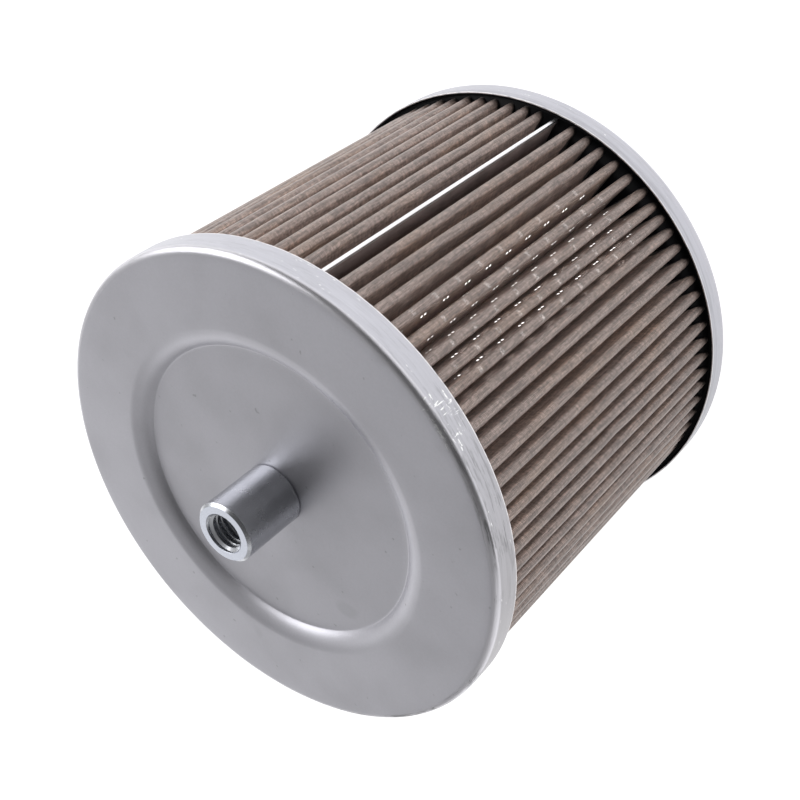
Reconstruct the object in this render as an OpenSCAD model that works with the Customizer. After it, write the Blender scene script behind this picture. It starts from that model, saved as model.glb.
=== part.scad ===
// Hydraulic suction filter cartridge, a pleated wire mesh element between two pressed steel caps.
// It stands on its open end with the threaded boss up. Millimetres, +Z along the axis.

/* [End caps] */
// Outside diameter of both end caps
cap_d = 150; // [130:1:180]
// Height over the two end caps
pack_h = 133; // [90:1:200]
// Thickness of the cap sheet
sheet_t = 1; // [0.7:0.1:1.4]
// Depth of each cap's skirt
skirt_h = 9.2; // [8:0.1:14]
// Outside radius of the bend between a cap's face and its skirt
rim_r = 2.2; // [1.8:0.1:3]

/* [Pressed dish of the top cap] */
// Gap between the dish's lip and the inside of the core
dish_gap = 1.9; // [1:0.1:4]
// Depth of the floor below the cap's face
dish_depth = 3.2; // [2.4:0.1:4]
// Slope of the dish's wall, in degrees from the face
dish_slope = 46; // [40:1:60]
// Radius of the soft bend at the top of the wall
dish_lip_r = 3; // [2:0.1:4]
// Radius of the tight bend at the foot of the wall
dish_foot_r = 0.6; // [0.4:0.1:1.2]

/* [Threaded boss] */
// Diameter of the boss
boss_d = 18.5; // [17:0.5:22]
// Height of the boss above the floor of the dish
boss_h = 21; // [20:0.5:40]
// Chamfer round the boss's free end
boss_chamfer = 0.8; // [0.4:0.1:1.2]
// Bore of the thread before it is cut, for a 12 mm thread of 1.75 mm pitch
tap_d = 10.2; // [8.5:0.1:10.5]
// Depth of the threaded bore
tap_depth = 17; // [12:0.5:20]
// Diameter of the countersink at the mouth of the thread
mouth_d = 12.2; // [11:0.1:13]
// Angle of the drill point at the bottom of the bore
drill_angle = 118; // [90:1:140]
// Diameter of the spigot that passes through the cap
spigot_d = 14; // [12:0.5:15]
// Diameter of the spigot's riveted head
head_d = 17.5; // [16:0.5:20]
// Thickness of the riveted head
head_t = 1.4; // [1:0.1:2]
// Outside diameter of the backing washer
washer_d = 28; // [22:0.5:34]
// Thickness of the backing washer
washer_t = 1.5; // [1:0.1:2.5]

/* [Perforated core] */
// Outside diameter of the core tube
core_d = 106; // [90:0.5:112]
// Wall of the core tube
core_t = 1; // [0.8:0.1:1.2]
// Diameter of the core's holes
hole_d = 6; // [3:0.5:6]
// Distance between the holes of one column
hole_pitch = 10; // [8:0.5:14]
// Number of columns of holes, an even number
hole_columns = 36; // [24:2:40]
// Plain band left at each end of the core
core_band = 13; // [11:0.5:20]

/* [Pleated mesh] */
// Number of pleats
pleats = 84; // [60:1:90]
// Thickness of the woven mesh pack
mesh_t = 0.5; // [0.4:0.05:0.6]
// Radius to the middle of the mesh at a crest
crest_bend = 1.35; // [1.1:0.05:1.4]
// Radius to the middle of the mesh at a root
root_bend = 0.8; // [0.6:0.05:0.9]
// Gap between the crests and the inside of the skirts
crest_gap = 1; // [0.6:0.1:1.5]
// Gap between the roots and the core
root_gap = 0.3; // [0.2:0.1:0.8]
// Angle of the side seam round the axis
seam_angle = -61; // [-180:1:180]

/* [Seam clip] */
// Thickness of the clip's strip
clip_t = 0.35; // [0.25:0.05:0.5]
// Depth of the clip from crest to edge
clip_depth = 11; // [8:0.5:13]
// Gap between the clip and the mesh it holds
clip_gap = 0.05; // [0.02:0.01:0.1]

/* [Potting] */
// How far the potting stops short of a skirt's edge
potting_drop = 1.6; // [1:0.1:3]
// How deep the pleats stand in the potting
embed = 4; // [2:0.5:4.5]

/* [Open end] */
// Gap between the seal and the inside of the core
seal_gap = 1.7; // [1:0.1:4]
// Height of the collar above the foot
collar_h = 12; // [9:0.5:20]
// Outside radius of the bend at the mouth of the collar
mouth_r = 3; // [2:0.1:3.5]
// Thickness of the seal's legs
seal_t = 1.8; // [1.4:0.1:2]
// How far the seal reaches down the collar's inner side
seal_inner_h = 3.5; // [2:0.5:6]
// How far the seal reaches down the collar's outer side
seal_outer_h = 5; // [3:0.5:8]
// Radius of the seal's rounded edges
seal_round = 0.8; // [0.4:0.1:0.8]

/* [Hidden] */

// Smoothness of round parts, and steps along small bends
$fn = 96;
bend_steps = 8;
crest_steps = 6;
root_steps = 3;

cap_r = cap_d / 2;
skirt_in_r = cap_r - sheet_t;
pack_top = pack_h;
floor_z = pack_top - dish_depth;
core_r = core_d / 2;
core_in_r = core_r - core_t;
collar_r = core_in_r - seal_gap - seal_t - sheet_t;

// Mesh radii, measured from the axis
crest_r = skirt_in_r - crest_gap;
root_r = core_r + root_gap;
crest_c = crest_r - crest_bend - mesh_t / 2;
root_c = root_r + root_bend + mesh_t / 2;

// Potting levels
top_pot_z = pack_top - skirt_h + potting_drop;
low_pot_z = skirt_h - potting_drop;
mesh_low = low_pot_z - embed;
mesh_high = top_pot_z + embed;

// Points of an arc round c from angle a to angle b
function arc(c, r, a, b, steps = bend_steps) =
    [for (i = [0 : steps]) c + r * [cos(a + (b - a) * i / steps), sin(a + (b - a) * i / steps)]];

// A point at a radius and an angle
function polar(r, a) = r * [cos(a), sin(a)];

// A point given along and across the ray at angle a
function on_ray(along, across, a) = along * [cos(a), sin(a)] + across * [-sin(a), cos(a)];

// Run of the dish's wall, from the flat floor to the flat rim of the outer surface
lip_in_r = dish_lip_r - sheet_t;
foot_out_r = dish_foot_r + sheet_t;
bends_drop = (dish_lip_r + dish_foot_r) * (1 - cos(dish_slope));
wall_run = (dish_depth - bends_drop) / tan(dish_slope);
lip_r = core_in_r - dish_gap;
dish_r = lip_r - (dish_lip_r + dish_foot_r) * sin(dish_slope) - wall_run;

// Half section of the top cap's sheet, as radius and height
function top_cap_section() = concat(
    [[cap_r, pack_top - skirt_h]],
    arc([cap_r - rim_r, pack_top - rim_r], rim_r, 0, 90),
    arc([lip_r, pack_top - dish_lip_r], dish_lip_r, 90, 90 + dish_slope),
    arc([dish_r, floor_z + dish_foot_r], dish_foot_r, dish_slope - 90, -90),
    [[spigot_d / 2, floor_z], [spigot_d / 2, floor_z - sheet_t]],
    arc([dish_r, floor_z + dish_foot_r], foot_out_r, -90, dish_slope - 90),
    arc([lip_r, pack_top - dish_lip_r], lip_in_r, 90 + dish_slope, 90),
    arc([cap_r - rim_r, pack_top - rim_r], rim_r - sheet_t, 90, 0),
    [[skirt_in_r, pack_top - skirt_h]]);

// Half section of the bottom cap's sheet with its collar
function bottom_cap_section() = concat(
    [[cap_r, skirt_h]],
    arc([cap_r - rim_r, rim_r], rim_r, 0, -90),
    arc([collar_r + mouth_r, mouth_r], mouth_r, -90, -180),
    [[collar_r, collar_h], [collar_r + sheet_t, collar_h]],
    arc([collar_r + mouth_r, mouth_r], mouth_r - sheet_t, -180, -90),
    arc([cap_r - rim_r, rim_r], rim_r - sheet_t, -90, 0),
    [[skirt_in_r, skirt_h]]);

// Pleat geometry: the flank is the inner tangent of a crest circle and a root circle
pitch = 360 / pleats;
pleat_dx = crest_c - root_c * cos(pitch / 2);
pleat_dy = root_c * sin(pitch / 2);
flank_lean = asin((crest_bend + root_bend) / norm([pleat_dx, pleat_dy])) - atan2(pleat_dy, pleat_dx);
crest_turn = 90 + flank_lean;
root_turn = 90 - flank_lean + pitch / 2;

// The two ends of the mesh stand side by side under the clip
leg_across = (mesh_t + clip_gap) / 2;
leg_top = crest_r - clip_t - clip_gap;
leg_foot = crest_r - clip_depth;
clip_half = leg_across + mesh_t / 2 + clip_gap + clip_t;

// One side of the mesh, s off its middle, from one end of the strip round to the other
function mesh_side(s) = concat(
    [for (along = [leg_top, leg_foot]) on_ray(along, leg_across + s, seam_angle)],
    [for (i = [0 : pleats - 1])
        let (crest_a = seam_angle + i * pitch, root_a = crest_a + pitch / 2)
        each concat(
            i == 0 ? [] : arc(polar(crest_c, crest_a), crest_bend + s,
                              crest_a - crest_turn, crest_a + crest_turn, crest_steps),
            arc(polar(root_c, root_a), root_bend - s,
                root_a + 360 - root_turn, root_a + root_turn, root_steps))],
    [for (along = [leg_foot, leg_top]) on_ray(along, -leg_across - s, seam_angle)]);

function reversed(points) = [for (i = [len(points) - 1 : -1 : 0]) points[i]];

module mesh_outline() {
    polygon(concat(mesh_side(mesh_t / 2), reversed(mesh_side(-mesh_t / 2))));
}

module clip_outline() {
    rotate(seam_angle)
        difference() {
            translate([crest_r - clip_depth, -clip_half])
                square([clip_depth, 2 * clip_half]);
            translate([crest_r - clip_depth - clip_t, clip_t - clip_half])
                square([clip_depth, 2 * (clip_half - clip_t)]);
        }
}

// The pressed steel cap with its dish
module top_end_cap() {
    color([0.66, 0.66, 0.68])
        rotate_extrude()
            polygon(top_cap_section());
}

// Turned boss: threaded blind bore, spigot through the cap and a riveted head behind the washer
module threaded_boss() {
    boss_r = boss_d / 2;
    top_z = floor_z + boss_h;
    tap_r = tap_d / 2;
    mouth_drop = (mouth_d - tap_d) / 2;
    tap_z = top_z - tap_depth;
    head_z = floor_z - sheet_t - washer_t;
    color([0.62, 0.66, 0.72])
        rotate_extrude()
            polygon(concat(
                [[0, tap_z - tap_r / tan(drill_angle / 2)], [tap_r, tap_z], [tap_r, top_z - mouth_drop],
                 [mouth_d / 2, top_z], [boss_r - boss_chamfer, top_z], [boss_r, top_z - boss_chamfer],
                 [boss_r, floor_z], [spigot_d / 2, floor_z], [spigot_d / 2, head_z], [head_d / 2, head_z]],
                arc([head_d / 2 - head_t, head_z], head_t, 0, -90),
                [[0, head_z - head_t]]));
}

// Washer that spreads the rivet's load under the thin cap
module boss_washer() {
    color([0.6, 0.6, 0.62])
        translate([0, 0, floor_z - sheet_t - washer_t])
            difference() {
                cylinder(h = washer_t, d = washer_d);
                translate([0, 0, -washer_t])
                    cylinder(h = 3 * washer_t, d = spigot_d);
            }
}

// Perforated tube that carries the pleats against the suction
module core_tube() {
    core_low = sheet_t;
    core_h = pack_top - 2 * sheet_t;
    span = core_h - 2 * core_band;
    rows = floor(span / hole_pitch - 0.5);
    start_z = core_low + (core_h - (rows - 0.5) * hole_pitch) / 2;
    color([0.7, 0.7, 0.7])
        difference() {
            translate([0, 0, core_low])
                cylinder(h = core_h, r = core_r);
            translate([0, 0, core_low - core_t])
                cylinder(h = core_h + 2 * core_t, r = core_in_r);
            for (column = [0 : hole_columns - 1], row = [0 : rows - 1])
                rotate(column * 360 / hole_columns)
                    translate([core_r - core_t / 2, 0, start_z + (row + (column % 2) / 2) * hole_pitch])
                        rotate([0, 90, 0])
                            cylinder(h = 4 * core_t, d = hole_d, center = true, $fn = 24);
        }
}

// One strip of woven mesh, folded into radial pleats
module pleated_mesh() {
    color([0.55, 0.5, 0.46])
        translate([0, 0, mesh_low])
            linear_extrude(mesh_high - mesh_low)
                mesh_outline();
}

// Folded strip that grips the two ends of the mesh along one crest
module seam_clip() {
    color([0.85, 0.85, 0.87])
        translate([0, 0, mesh_low])
            linear_extrude(mesh_high - mesh_low)
                clip_outline();
}

// Potting between the core and the skirt of one cap, with the slots that hold the pleat ends
module potting_ring() {
    corner_r = rim_r - sheet_t;
    slot_floor = low_pot_z - embed;
    color([0.08, 0.08, 0.08])
        difference() {
            rotate_extrude()
                polygon(concat(
                    [[core_r, sheet_t]],
                    arc([skirt_in_r - corner_r, sheet_t + corner_r], corner_r, -90, 0),
                    [[skirt_in_r, low_pot_z], [core_r, low_pot_z]]));
            translate([0, 0, slot_floor])
                linear_extrude(2 * embed) {
                    mesh_outline();
                    clip_outline();
                }
        }
}

module bottom_potting() {
    potting_ring();
}

module top_potting() {
    translate([0, 0, pack_top])
        mirror([0, 0, 1])
            potting_ring();
}

// The pressed steel cap of the open end, with its inward collar
module bottom_end_cap() {
    color([0.66, 0.66, 0.68])
        rotate_extrude()
            polygon(bottom_cap_section());
}

// Rubber seal clipped over the collar's free edge
module seal_ring() {
    in_r = collar_r - seal_t;
    out_r = collar_r + sheet_t + seal_t;
    top_z = collar_h + seal_t;
    color([0.1, 0.1, 0.11])
        rotate_extrude()
            polygon(concat(
                [[collar_r, collar_h], [collar_r, collar_h - seal_inner_h]],
                arc([in_r + seal_round, collar_h - seal_inner_h + seal_round], seal_round, 270, 180),
                arc([in_r + seal_round, top_z - seal_round], seal_round, 180, 90),
                arc([out_r - seal_round, top_z - seal_round], seal_round, 90, 0),
                arc([out_r - seal_round, collar_h - seal_outer_h + seal_round], seal_round, 0, -90),
                [[collar_r + sheet_t, collar_h - seal_outer_h], [collar_r + sheet_t, collar_h]]));
}

top_end_cap();
threaded_boss();
boss_washer();
core_tube();
pleated_mesh();
seam_clip();
top_potting();
bottom_potting();
bottom_end_cap();
seal_ring();
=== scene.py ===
"""Looks of a hydraulic filter cartridge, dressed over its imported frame.

Lengths are metres in the part's own frame: the cartridge stands on its open end, with the boss up.
"""

import logging
import math
import random
from dataclasses import dataclass
from enum import Enum
from typing import Callable

import bmesh
import bpy
from mathutils import Matrix, Quaternion, Vector, noise


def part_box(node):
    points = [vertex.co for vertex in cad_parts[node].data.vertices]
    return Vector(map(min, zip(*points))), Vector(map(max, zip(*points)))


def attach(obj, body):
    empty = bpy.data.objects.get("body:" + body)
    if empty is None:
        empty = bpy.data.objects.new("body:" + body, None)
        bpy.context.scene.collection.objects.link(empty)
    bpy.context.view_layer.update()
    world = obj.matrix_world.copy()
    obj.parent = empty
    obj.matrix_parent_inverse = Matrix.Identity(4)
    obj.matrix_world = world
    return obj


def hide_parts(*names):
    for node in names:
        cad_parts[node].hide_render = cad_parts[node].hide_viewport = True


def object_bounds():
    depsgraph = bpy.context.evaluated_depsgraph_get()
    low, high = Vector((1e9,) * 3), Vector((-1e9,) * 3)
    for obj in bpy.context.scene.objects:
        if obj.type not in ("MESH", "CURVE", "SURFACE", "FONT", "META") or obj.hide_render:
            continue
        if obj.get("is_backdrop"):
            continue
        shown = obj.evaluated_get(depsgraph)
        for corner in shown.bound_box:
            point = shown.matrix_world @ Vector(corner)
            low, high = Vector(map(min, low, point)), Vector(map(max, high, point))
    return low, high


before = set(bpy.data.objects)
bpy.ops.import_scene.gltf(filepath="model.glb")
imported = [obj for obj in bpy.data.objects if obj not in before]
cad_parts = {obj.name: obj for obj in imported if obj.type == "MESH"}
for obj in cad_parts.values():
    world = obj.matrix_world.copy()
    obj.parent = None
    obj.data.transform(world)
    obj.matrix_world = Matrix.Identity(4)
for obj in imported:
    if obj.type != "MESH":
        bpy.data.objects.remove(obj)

MM = 0.001
TURN = 2 * math.pi
AXIS = Vector((0.0, 0.0, 1.0))
ORIGIN = Vector((0.0, 0.0, 0.0))
SEED = 84
CREST_INSET = 2.0 * MM
SHEET = 1.0 * MM
LOG = logging.getLogger("cartridge")

Colour = tuple[float, float, float]
Place = tuple[float, float, float]


class Slot(Enum):
    """The record's material slots."""

    CAP = "cap_steel"
    ZINC = "zinc_plate"
    WASHER = "washer_steel"
    CORE = "core_steel"
    MESH = "wire_mesh"
    STRIP = "bright_strip"
    POTTING = "potting"
    SEAL = "nitrile"


class Signal:
    """An output among nodes, which Python's operators combine."""

    def __init__(self, nodes: "Nodes", socket: bpy.types.NodeSocket) -> None:
        """Wraps one output socket."""
        self.nodes = nodes
        self.socket = socket

    def _join(self, operation: str, first: object, second: object) -> "Signal":
        """Joins two values, at least one of them a signal.

        Args:
            operation: The operation's name, which Math, Vector Math and Mix share.
            first: The left value.
            second: The right value.

        Returns:
            The joined signal, of the richer kind of the two.
        """
        kinds = {side.socket.type for side in (first, second) if isinstance(side, Signal)}
        if "RGBA" in kinds:
            settings = {"data_type": "RGBA", "blend_type": operation}
            return self.nodes.add("ShaderNodeMix", settings, {0: 1.0, 6: first, 7: second}, out=2)
        kind = "ShaderNodeVectorMath" if "VECTOR" in kinds else "ShaderNodeMath"
        return self.nodes.add(kind, {"operation": operation}, {0: first, 1: second})

    def __add__(self, other: object) -> "Signal":
        """Adds."""
        return self._join("ADD", self, other)

    def __radd__(self, other: object) -> "Signal":
        """Adds from the right."""
        return self._join("ADD", other, self)

    def __sub__(self, other: object) -> "Signal":
        """Subtracts."""
        return self._join("SUBTRACT", self, other)

    def __rsub__(self, other: object) -> "Signal":
        """Subtracts this from another value."""
        return self._join("SUBTRACT", other, self)

    def __mul__(self, other: object) -> "Signal":
        """Multiplies."""
        return self._join("MULTIPLY", self, other)

    def __rmul__(self, other: object) -> "Signal":
        """Multiplies from the right."""
        return self._join("MULTIPLY", other, self)

    def __truediv__(self, other: object) -> "Signal":
        """Divides."""
        return self._join("DIVIDE", self, other)

    def _math(self, operation: str, *others: object) -> "Signal":
        """Runs one Math operation on this number and any others."""
        sockets = dict(enumerate((self, *others)))
        return self.nodes.add("ShaderNodeMath", {"operation": operation}, sockets)

    def sine(self) -> "Signal":
        """Sine of an angle in radians."""
        return self._math("SINE")

    def size(self) -> "Signal":
        """Value without its sign."""
        return self._math("ABSOLUTE")

    def root(self) -> "Signal":
        """Square root."""
        return self._math("SQRT")

    def fraction(self) -> "Signal":
        """What a number has above the whole number below it."""
        return self._math("FRACT")

    def turn_over(self, across: "Signal") -> "Signal":
        """Angle in radians of the point that lies this far up and the other number across."""
        return self._math("ARCTAN2", across)

    def least(self, other: object) -> "Signal":
        """Smaller of two numbers."""
        return self._math("MINIMUM", other)

    def most(self, other: object) -> "Signal":
        """Larger of two numbers."""
        return self._math("MAXIMUM", other)

    def ramp(self, low: float, high: float) -> "Signal":
        """Smooth step from 0 at low to 1 at high, or back where low is the larger."""
        settings = {"interpolation_type": "SMOOTHSTEP"}
        sockets = {0: self, 1: low, 2: high, 3: 0.0, 4: 1.0}
        return self.nodes.add("ShaderNodeMapRange", settings, sockets)

    def band(self, start: float, full: float, fading: float, end: float) -> "Signal":
        """Smooth band: 0 up to start, 1 from full to fading, and 0 from end on."""
        return self.ramp(start, full) * self.ramp(end, fading)

    def close_to(self, middle: float, reach: float, full: float) -> "Signal":
        """Smooth mark: 1 within full of the middle, and 0 beyond reach."""
        return (self - middle).size().ramp(reach, full)

    def spread(self, amount: float) -> "Signal":
        """A factor about 1, from noise between 0 and 1."""
        return 1.0 + amount * (self - 0.5)

    def distance(self, spot: Place) -> "Signal":
        """Distance of a vector from a fixed place."""
        settings = {"operation": "DISTANCE"}
        return self.nodes.add("ShaderNodeVectorMath", settings, {0: self, 1: spot}, out="Value")

    def part(self, letter: str) -> "Signal":
        """One component of a vector, named x, y or z."""
        return self.nodes.add("ShaderNodeSeparateXYZ", {}, {0: self}, out="xyz".index(letter))


class Nodes:
    """The nodes of a material or of the room."""

    def __init__(self, owner: bpy.types.ID) -> None:
        """Gives a material or a world its nodes."""
        owner.use_nodes = True
        self.tree = owner.node_tree

    def add(self, kind: str, settings: dict, sockets: dict, out: int | str = 0) -> Signal:
        """Adds a node of any kind.

        Args:
            kind: The node's type.
            settings: Its properties, set before its sockets.
            sockets: Input name or number to a plain value or a signal.
            out: Name or number of the output that is returned.

        Returns:
            The chosen output as a signal.
        """
        node = self.tree.nodes.new(kind)
        for key, setting in settings.items():
            setattr(node, key, setting)
        for key, value in sockets.items():
            self.feed(node.inputs[key], value)
        return Signal(self, node.outputs[out])

    def feed(self, socket: bpy.types.NodeSocket, value: object) -> None:
        """Links a signal to a socket, or sets a plain value on it."""
        if isinstance(value, Signal):
            self.tree.links.new(value.socket, socket)
        elif socket.type == "RGBA":
            socket.default_value = (*value, 1.0)
        else:
            socket.default_value = value


class Shader(Nodes):
    """One node material, with a Principled surface."""

    def __init__(self, name: str) -> None:
        """Makes the material round its Principled node.

        Args:
            name: The material's name.
        """
        self.material = bpy.data.materials.new(name)
        super().__init__(self.material)
        self.surface = self.tree.nodes["Principled BSDF"]

    def place(self) -> Signal:
        """Object coordinates, which are the part's own metres."""
        return self.add("ShaderNodeTexCoord", {}, {}, out="Object")

    def own(self, name: str) -> Signal:
        """A number that the piece's mesh carries on its vertices."""
        return self.add("ShaderNodeAttribute", {"attribute_name": name}, {}, out="Fac")

    def grain(self, where: Signal, scale: float, detail: float = 2.0, rough: float = 0.5) -> Signal:
        """Noise from 0 to 1.

        Args:
            where: Coordinates in metres.
            scale: Features in a metre.
            detail: Octaves.
            rough: Weight of the finer octaves.

        Returns:
            The noise as a number.
        """
        sockets = {"Vector": where, "Scale": scale, "Detail": detail, "Roughness": rough}
        return self.add("ShaderNodeTexNoise", {}, sockets, out="Fac")

    def blend(self, share: object, first: object, second: object) -> Signal:
        """Mixes two colours, all of the second where share is 1."""
        sockets = {0: share, 6: first, 7: second}
        return self.add("ShaderNodeMix", {"data_type": "RGBA"}, sockets, out=2)

    def bump(self, height: Signal, depth: float, strength: float = 1.0) -> Signal:
        """A normal from a height between 0 and 1, depth metres tall."""
        sockets = {"Strength": strength, "Distance": depth, "Height": height}
        return self.add("ShaderNodeBump", {}, sockets, out="Normal")

    def round_place(self, where: Signal, radius: float) -> Signal:
        """Coordinates unrolled round the axis, as length round, length from the axis and height.

        Args:
            where: Object coordinates.
            radius: Radius at which the length round is true.

        Returns:
            The unrolled coordinates as a vector.
        """
        x, y, z = (where.part(letter) for letter in "xyz")
        turned = y.turn_over(x) * radius
        out = (x * x + y * y).root()
        return self.add("ShaderNodeCombineXYZ", {}, {0: turned, 1: out, 2: z})

    def paint(self, **channels: object) -> bpy.types.Material:
        """Feeds the surface's sockets.

        Args:
            channels: Socket names in lower case with underscores, to a value or a signal.

        Returns:
            The finished material.
        """
        for name, value in channels.items():
            title = name.replace("_", " ").title().replace("Ior", "IOR")
            self.feed(self.surface.inputs[title], value)
        return self.material


@dataclass(frozen=True)
class SatinSheet:
    """Pressed sheet steel with a satin zinc skin, brighter and scuffed on its skirt."""

    name: str
    rim_radius: float
    middle: float
    half_gap: float
    tone: Colour = (0.515, 0.510, 0.550)
    cloud_tone: Colour = (0.470, 0.465, 0.500)
    bend_tone: Colour = (0.70, 0.69, 0.73)
    skirt_tone: Colour = (0.57, 0.57, 0.62)
    side_shade_tone: Colour = (0.41, 0.40, 0.42)
    edge_highlight_tone: Colour = (0.88, 0.86, 0.87)
    bare_tone: Colour = (0.99, 0.99, 0.99)
    smudge: Colour = (0.22, 0.22, 0.23)
    knock: Place = (-10.4 * MM, -73.7 * MM, 131.0 * MM)
    dish_wall: tuple[float, ...] = (45.0 * MM, 46.2 * MM, 48.5 * MM, 51.0 * MM)

    def make(self) -> bpy.types.Material:
        """Builds the material."""
        shader = Shader(self.name)
        where = shader.place()
        unrolled = shader.round_place(where, self.rim_radius)
        out, across, rise = unrolled.part("y"), where.part("x"), where.part("z")
        skirt = out.ramp(self.rim_radius - 2.3 * MM, self.rim_radius - 0.9 * MM)
        inward = (rise - self.middle).size() - self.half_gap
        near = rise.ramp(self.middle - 5 * MM, self.middle + 5 * MM)
        far = 1.0 - near

        clouds = shader.grain(where, 38.0, 3.0)
        speckle = shader.grain(where, 1500.0, 2.0, 0.7)
        fingers = shader.grain(where, 70.0, 1.0).ramp(0.70, 0.80)
        spots = shader.grain(where, 420.0, 1.0).ramp(0.750, 0.81)
        face = shader.blend(clouds.ramp(0.35, 0.75), self.tone, self.cloud_tone)
        # painted shade: the face is darker inside the dish, below its wall
        face = face * speckle.spread(0.14) * (1.0 - out.ramp(46.5 * MM, 45.2 * MM) * 0.06)
        # painted light: the dish wall's colour is lifted so the slope looks lit
        face = face * (out.band(*self.dish_wall) * near * 0.17 + 1.0)
        face = shader.blend(fingers * 0.16 + spots * 0.45, face, self.smudge)

        drawn = shader.grain(unrolled * (0.05, 1.0, 1.5), 900.0, 4.0, 0.7)
        rubbed = shader.grain(where, 34.0, 2.0).ramp(0.30, 0.50)
        # painted shade: the near skirt darkens towards the -X side; the same mask also gathers the
        # scuffs there
        shade_and_wear_side = across.ramp(20 * MM, -70 * MM) * near
        scuffs = shader.grain(unrolled * (0.10, 1.0, 1.1), 800.0, 4.0, 0.75).ramp(0.49, 0.60)
        worn = scuffs * rubbed * (shade_and_wear_side * 0.85 + 0.15) * inward.ramp(0.4 * MM, 1.5 * MM)
        lined = inward.ramp(3.2 * MM, 2.2 * MM) * far * drawn.ramp(0.40, 0.60)
        side = shader.blend(shade_and_wear_side, self.skirt_tone, self.side_shade_tone)
        side = shader.blend(inward.ramp(7.0 * MM, 7.8 * MM), side, self.bend_tone)
        side = shader.blend(worn * 0.9, side, self.smudge)
        side = side * drawn.spread(0.3) * (1.0 - lined * 0.22)
        # painted shade: the far skirt darkens towards the -X side
        side = side * (1.0 - across.ramp(-30 * MM, -72 * MM) * far * 0.2)

        knocked = where.distance(self.knock).ramp(17 * MM, 5 * MM)
        nicks = shader.grain(unrolled * (0.35, 1.0, 1.6), 620.0, 3.0, 0.75) + knocked * 0.05
        cuts = shader.grain(unrolled * (1.8, 1.0, 0.3), 700.0, 2.0, 0.7) * knocked
        bare = (nicks.ramp(0.672, 0.71) * skirt).most(cuts.ramp(0.600, 0.645) * skirt)
        # painted highlight: a thin bright line painted along the skirt's sheared edge
        edge = inward.ramp(0.55 * MM, 0.25 * MM) * shader.grain(where, 500.0, 2.0).ramp(0.25, 0.5)
        colour = shader.blend(bare * 0.9, shader.blend(skirt, face, side), self.bare_tone)
        colour = shader.blend(edge, colour, self.edge_highlight_tone)
        rough = (clouds - 0.5) * 0.06 + (speckle - 0.5) * 0.08 + 0.44 - skirt * 0.08
        height = speckle * 0.7 + drawn * skirt * 1.6
        return shader.paint(base_color=colour, roughness=rough, metallic=0.92,
                            normal=shader.bump(height, 0.012 * MM, 0.6))


@dataclass(frozen=True)
class ZincPlate:
    """Turned steel with a bright blue-white zinc plate."""

    name: str
    end_height: float
    tone: Colour = (0.68, 0.695, 0.735)
    end_tone: Colour = (0.60, 0.625, 0.70)
    mark_tone: Colour = (0.95, 0.96, 0.98)
    radius: float = 9.0 * MM

    def make(self) -> bpy.types.Material:
        """Builds the material."""
        shader = Shader(self.name)
        where = shader.place()
        unrolled = shader.round_place(where, self.radius)
        turned = shader.grain(unrolled * (0.04, 1.0, 1.0), 5200.0, 2.0, 0.6)
        clouds = shader.grain(where, 190.0, 3.0)
        end = where.part("z").ramp(self.end_height - 0.12 * MM, self.end_height - 0.02 * MM)
        colour = shader.blend(end, self.tone, self.end_tone) * clouds.spread(0.22)
        specks = shader.grain(where, 900.0, 1.0).ramp(0.75, 0.8)
        scratch = shader.grain(unrolled * (0.16, 1.0, 1.0), 800.0, 1.0).ramp(0.73, 0.77)
        marks = specks.most(scratch * 0.8) * (1.0 - end)
        colour = shader.blend(marks, colour, self.mark_tone)
        rough = clouds * 0.12 + 0.20 - end * 0.04
        return shader.paint(base_color=colour, roughness=rough, metallic=0.95,
                            normal=shader.bump(turned, 0.004 * MM, 0.5))


@dataclass(frozen=True)
class PlainSteel:
    """Rolled steel of the hidden pieces, with a faint grain."""

    name: str
    tone: Colour = (0.52, 0.52, 0.53)
    cloud_tone: Colour = (0.36, 0.35, 0.34)
    roughness: float = 0.38

    def make(self) -> bpy.types.Material:
        """Builds the material."""
        shader = Shader(self.name)
        where = shader.place()
        rolled = shader.grain(where * (1.0, 1.0, 0.06), 900.0, 3.0, 0.6)
        clouds = shader.grain(where, 55.0, 3.0)
        colour = shader.blend((clouds - 0.5) * 0.6 + 0.3, self.tone, self.cloud_tone)
        colour = colour * rolled.spread(0.3)
        rough = (rolled - 0.5) * 0.12 + self.roughness
        return shader.paint(base_color=colour, roughness=rough, metallic=0.9,
                            normal=shader.bump(rolled, 0.008 * MM, 0.5))


@dataclass(frozen=True)
class BrightStrip:
    """Polished strip, bright on its crest, dull and darker brown on its flanks, with stains."""

    name: str
    crest_radius: float
    tone: Colour = (0.93, 0.93, 0.95)
    flank_tone: Colour = (0.36, 0.290, 0.285)
    stain_tone: Colour = (0.13, 0.115, 0.105)

    def make(self) -> bpy.types.Material:
        """Builds the material."""
        shader = Shader(self.name)
        where = shader.place()
        radius = shader.round_place(where, self.crest_radius).part("y")
        crest = radius.ramp(self.crest_radius - 1.1 * MM, self.crest_radius - 0.45 * MM)
        drawn = shader.grain(where * (1.0, 1.0, 0.05), 1400.0, 2.0, 0.6)
        stains = shader.grain(where, 140.0, 3.0).ramp(0.42, 0.7)
        flank = shader.blend(stains * 0.5, self.flank_tone, self.stain_tone)
        colour = shader.blend(crest, flank, self.tone) * drawn.spread(0.5)
        rough = 0.5 - crest * 0.26 + (drawn - 0.5) * 0.1
        return shader.paint(base_color=colour, roughness=rough, metallic=crest * 0.55 + 0.35,
                            normal=shader.bump(drawn, 0.006 * MM, 0.4))


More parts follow.
